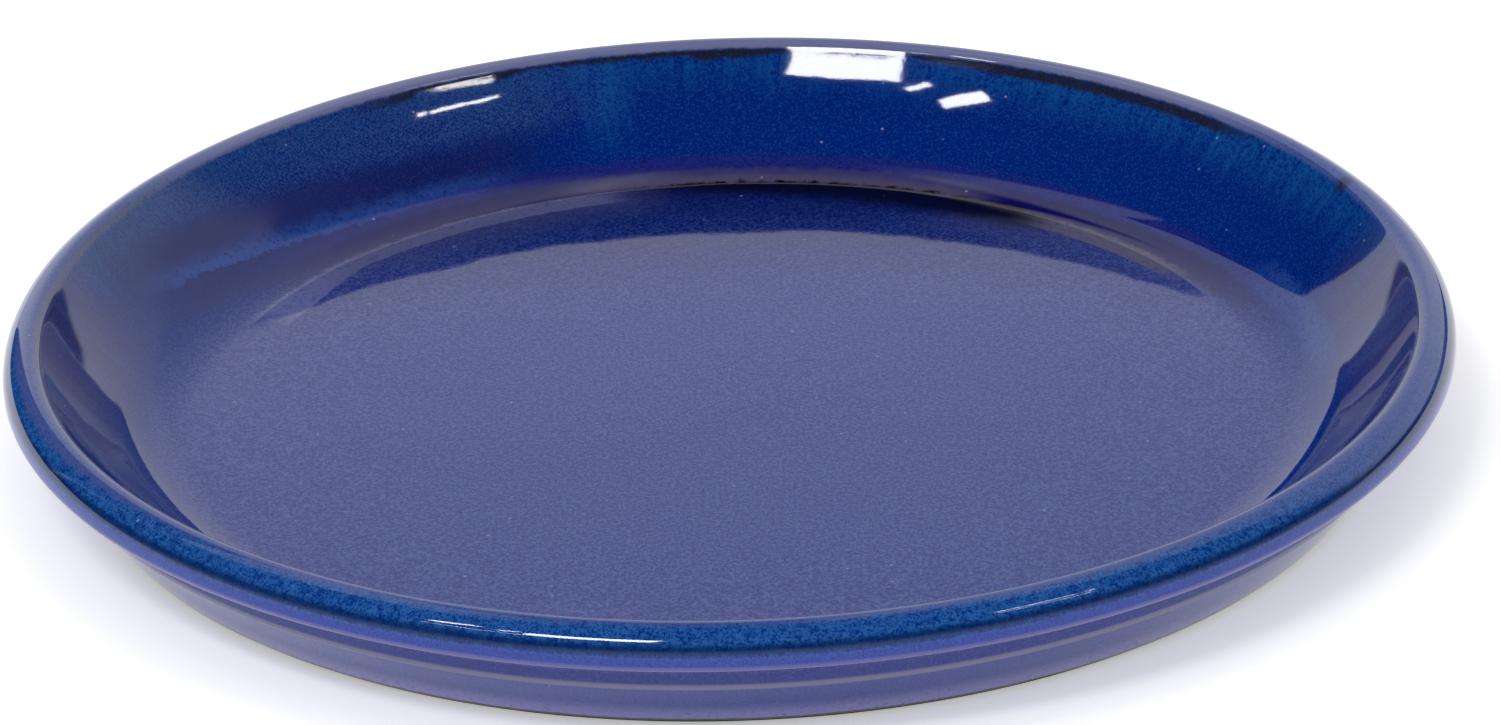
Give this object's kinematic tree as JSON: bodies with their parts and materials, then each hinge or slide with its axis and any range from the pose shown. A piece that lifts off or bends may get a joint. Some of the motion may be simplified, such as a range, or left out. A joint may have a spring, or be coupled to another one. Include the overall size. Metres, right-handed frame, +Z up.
{
  "type": "plant saucer",
  "caption": "Round glazed stoneware plant saucer with a sloping wall, a thick rounded lip and a bare clay foot, to catch water under a pot.",
  "frame": {"origin": "middle of the foot, on the surface that the saucer stands on", "axes": "+Z up along the saucer's axis of symmetry; -Y faces the picture's camera, +X to its right"},
  "size_m": [0.3, 0.3, 0.028],
  "materials": {
    "clay": "unglazed fired stoneware, dry and slightly gritty, brown",
    "glaze": "gloss cobalt-blue reactive glaze, mottled, breaking lighter and brown on edges"
  },
  "bodies": {
    "root": {"clay_body": "clay", "glaze_coat": "glaze"}
  },
  "joints": []
}
